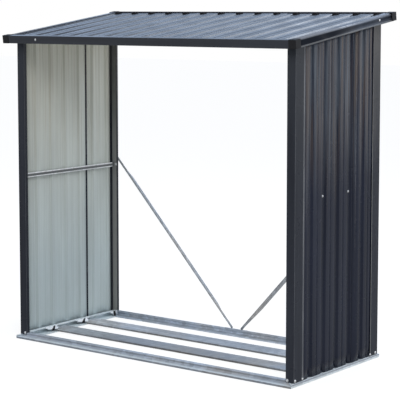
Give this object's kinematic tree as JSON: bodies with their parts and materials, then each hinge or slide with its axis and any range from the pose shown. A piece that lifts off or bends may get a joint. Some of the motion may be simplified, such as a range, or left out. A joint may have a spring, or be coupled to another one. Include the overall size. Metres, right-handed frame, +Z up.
{
  "type": "log store",
  "caption": "Open-fronted sheet-metal firewood store: ribbed side walls and sloping roof on folded corner posts, slatted galvanised base and a rear V brace.",
  "frame": {"origin": "centre of the footprint at ground level, under the middle of the roof", "axes": "+X to the right across the open front, +Y from the open front to the rear, +Z up"},
  "size_m": [1.63, 0.8, 1.54],
  "materials": {
    "painted_frame": "satin anthracite coating on folded steel",
    "wall_sheet": "anthracite outside, pale grey primer inside",
    "roof_sheet": "satin anthracite coating",
    "galvanised_steel": "bare galvanised with faint spangle",
    "corner_cap": "matt black moulded"
  },
  "bodies": {
    "root": {"base_front_rail": "galvanised_steel", "base_left_rail": "galvanised_steel", "base_rear_rail": "galvanised_steel", "base_right_rail": "galvanised_steel", "brace_foot_plate": "galvanised_steel", "floor_slat_front": "galvanised_steel", "floor_slat_rear": "galvanised_steel", "front_fascia": "painted_frame", "front_left_cap": "corner_cap", "front_left_post": "painted_frame", "front_right_cap": "corner_cap", "front_right_post": "painted_frame", "front_roof_beam": "painted_frame", "left_brace": "galvanised_steel", "left_fascia": "painted_frame", "left_mid_rail": "galvanised_steel", "left_top_rail": "galvanised_steel", "left_wall_front_sheet": "wall_sheet", "left_wall_rear_sheet": "wall_sheet", "rear_fascia": "painted_frame", "rear_left_cap": "corner_cap", "rear_left_post": "painted_frame", "rear_right_cap": "corner_cap", "rear_right_post": "painted_frame", "rear_roof_beam": "painted_frame", "right_brace": "galvanised_steel", "right_fascia": "painted_frame", "right_mid_rail": "galvanised_steel", "right_top_rail": "galvanised_steel", "right_wall_front_sheet": "wall_sheet", "right_wall_rear_sheet": "wall_sheet", "roof_left_sheet": "roof_sheet", "roof_middle_sheet": "roof_sheet", "roof_right_sheet": "roof_sheet"}
  },
  "joints": []
}
